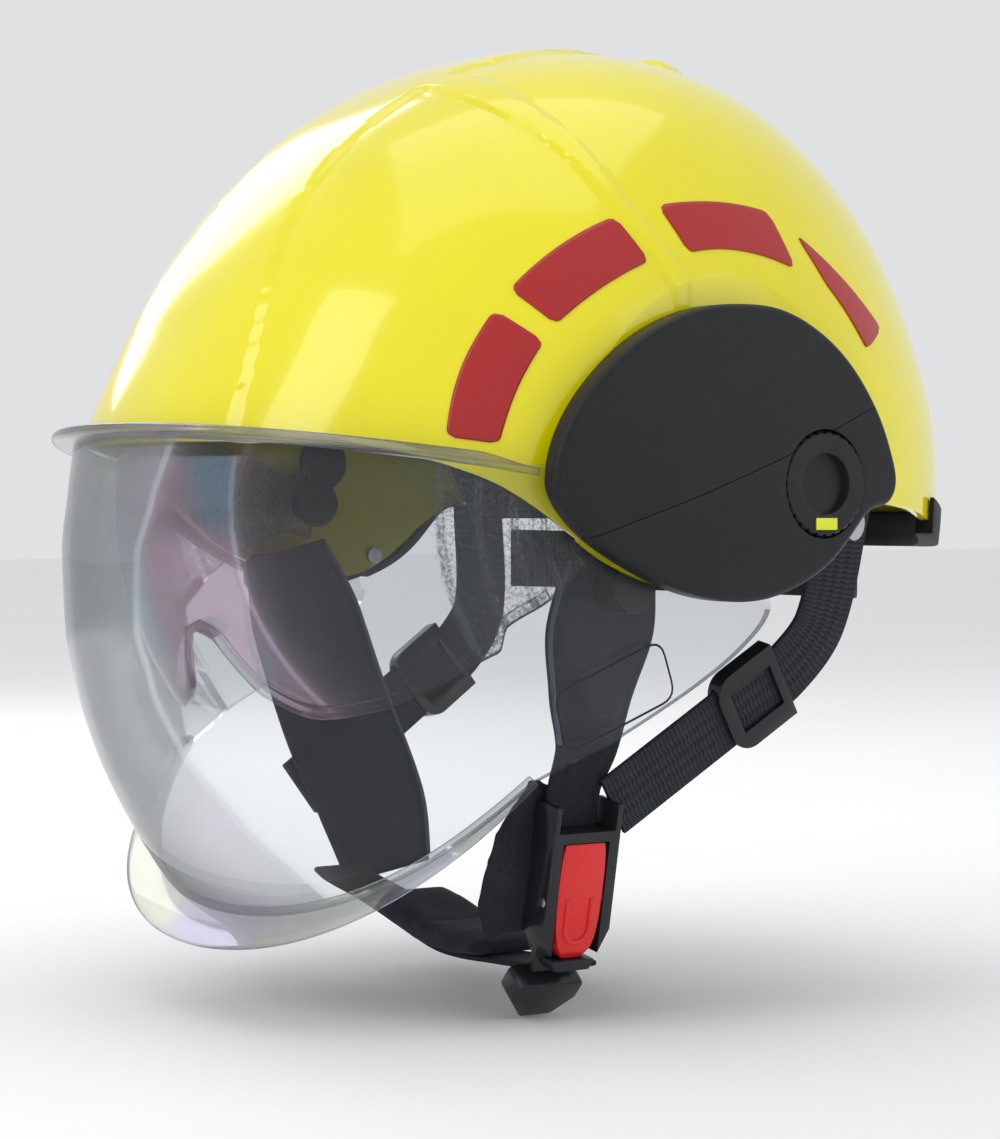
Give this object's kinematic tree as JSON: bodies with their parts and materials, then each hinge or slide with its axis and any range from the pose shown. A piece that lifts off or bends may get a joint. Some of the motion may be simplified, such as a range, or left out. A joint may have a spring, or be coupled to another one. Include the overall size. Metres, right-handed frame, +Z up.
{
  "type": "jet style fire helmet",
  "caption": "Open-face fire helmet with a clear full-face shield, inner eye visor, side covers with lamp dials, ratchet headband and buckled chin harness.",
  "frame": {"origin": "on the face shield's pivot axis, at the middle of the helmet, where the head's seat is taken from", "axes": "+Z up, the wearer faces -Y, the wearer's left is +X"},
  "size_m": [0.247, 0.2936, 0.2969],
  "materials": {
    "shell_yellow": "gloss moulded",
    "trim_rubber": "matt",
    "reflective_red": "reflective film",
    "liner_foam": "moulded foam",
    "webbing_black": "woven webbing",
    "harness_plastic": "satin",
    "pad_fabric": "padded knit",
    "gear_plastic": "satin",
    "hardware_black": "satin",
    "washer_plastic": "smooth",
    "steel": "plated",
    "shield_clear": "clear polycarbonate",
    "visor_clear": "clear polycarbonate",
    "visor_knob": "satin",
    "cover_grey": "fine grain",
    "dial_grey": "satin",
    "insert_yellow": "gloss",
    "strap_padded": "padded webbing",
    "buckle_black": "satin",
    "lever_red": "gloss"
  },
  "bodies": {
    "shell": {"outer_shell": "shell_yellow", "rear_edge_trim": "trim_rubber", "reflective_strips_left": "reflective_red", "reflective_strips_right": "reflective_red", "protective_liner": "liner_foam", "crown_cradle": "webbing_black", "headband_front": "harness_plastic", "brow_pad": "pad_fabric", "cradle_clips": "harness_plastic", "pivot_boss_left": "hardware_black", "pivot_boss_right": "hardware_black", "friction_washer_left": "washer_plastic", "friction_washer_right": "washer_plastic", "spring_washer_left": "steel", "spring_washer_right": "steel", "pivot_nut_left": "hardware_black", "pivot_nut_right": "hardware_black", "cover_upper_left": "cover_grey", "cover_upper_right": "cover_grey", "cover_lower_left": "cover_grey", "cover_lower_right": "cover_grey", "cover_screws": "steel", "strap_front_left": "strap_padded", "strap_front_right": "strap_padded", "strap_rear_left": "webbing_black", "strap_rear_right": "webbing_black", "buckle_flap": "strap_padded", "strap_anchor_left": "hardware_black", "strap_anchor_right": "hardware_black", "strap_rivets": "steel", "nape_strap": "webbing_black", "buckle_housing": "buckle_black", "buckle_pin": "steel", "buckle_spring": "steel", "buckle_tongue": "buckle_black", "chin_slider": "buckle_black", "chin_strap": "webbing_black", "chin_cup": "pad_fabric"},
    "face_shield": {"face_shield": "shield_clear"},
    "eye_visor": {"eye_visor": "visor_clear", "visor_hinge_left": "visor_knob", "visor_hinge_right": "visor_knob"},
    "nape_band": {"headband_rear": "harness_plastic", "nape_pad": "pad_fabric", "ratchet_housing": "harness_plastic"},
    "ratchet_knob": {"ratchet_knob": "harness_plastic", "ratchet_pinion": "gear_plastic"},
    "lamp_dial_left": {"lamp_dial_left": "dial_grey", "dial_insert_left": "insert_yellow"},
    "lamp_dial_right": {"lamp_dial_right": "dial_grey", "dial_insert_right": "insert_yellow"},
    "buckle_lever": {"buckle_lever": "lever_red"},
    "strap_slider_left": {"strap_slider_left": "buckle_black"},
    "strap_slider_right": {"strap_slider_right": "buckle_black"}
  },
  "joints": [
    {"name": "face_shield_lift", "type": "hinge", "parent": "shell", "child": "face_shield", "pos_m": [0, 0, 0], "axis": [-1, 0, 0], "range_deg": [0, 85]},
    {"name": "eye_visor_lift", "type": "hinge", "parent": "shell", "child": "eye_visor", "pos_m": [0, -0.006, -0.014], "axis": [-1, 0, 0], "range_deg": [0, 43]},
    {"name": "nape_slide", "type": "slide", "parent": "shell", "child": "nape_band", "axis": [0, -1, 0], "range_m": [0, 0.012]},
    {"name": "ratchet_knob_turn", "type": "hinge", "parent": "nape_band", "child": "ratchet_knob", "pos_m": [0, 0.1153, -0.009], "axis": [0, 1, 0], "range_deg": [0, 270]},
    {"name": "lamp_dial_left_turn", "type": "hinge", "parent": "shell", "child": "lamp_dial_left", "pos_m": [0.1175, 0.033, -0.008], "axis": [1, 0, 0], "range_deg": [0, 90]},
    {"name": "lamp_dial_right_turn", "type": "hinge", "parent": "shell", "child": "lamp_dial_right", "pos_m": [-0.1175, 0.033, -0.008], "axis": [-1, 0, 0], "range_deg": [0, 90]},
    {"name": "buckle_lever_press", "type": "hinge", "parent": "shell", "child": "buckle_lever", "pos_m": [0.08035, -0.0275, -0.13008], "axis": [0, 1, 0], "range_deg": [0, 5], "stiffness_Nm_per_rad": 0.2, "deforming": ["buckle_spring"]},
    {"name": "strap_slider_left_slide", "type": "slide", "parent": "shell", "child": "strap_slider_left", "axis": [-0.1022, -0.8368, -0.5379], "range_m": [-0.004, 0.004]},
    {"name": "strap_slider_right_slide", "type": "slide", "parent": "shell", "child": "strap_slider_right", "axis": [0.1022, -0.8368, -0.5379], "range_m": [-0.004, 0.004]}
  ],
  "couplings": [
    {"joint": "ratchet_knob_turn", "follows": "nape_slide", "rad_per_m": 392.7}
  ]
}
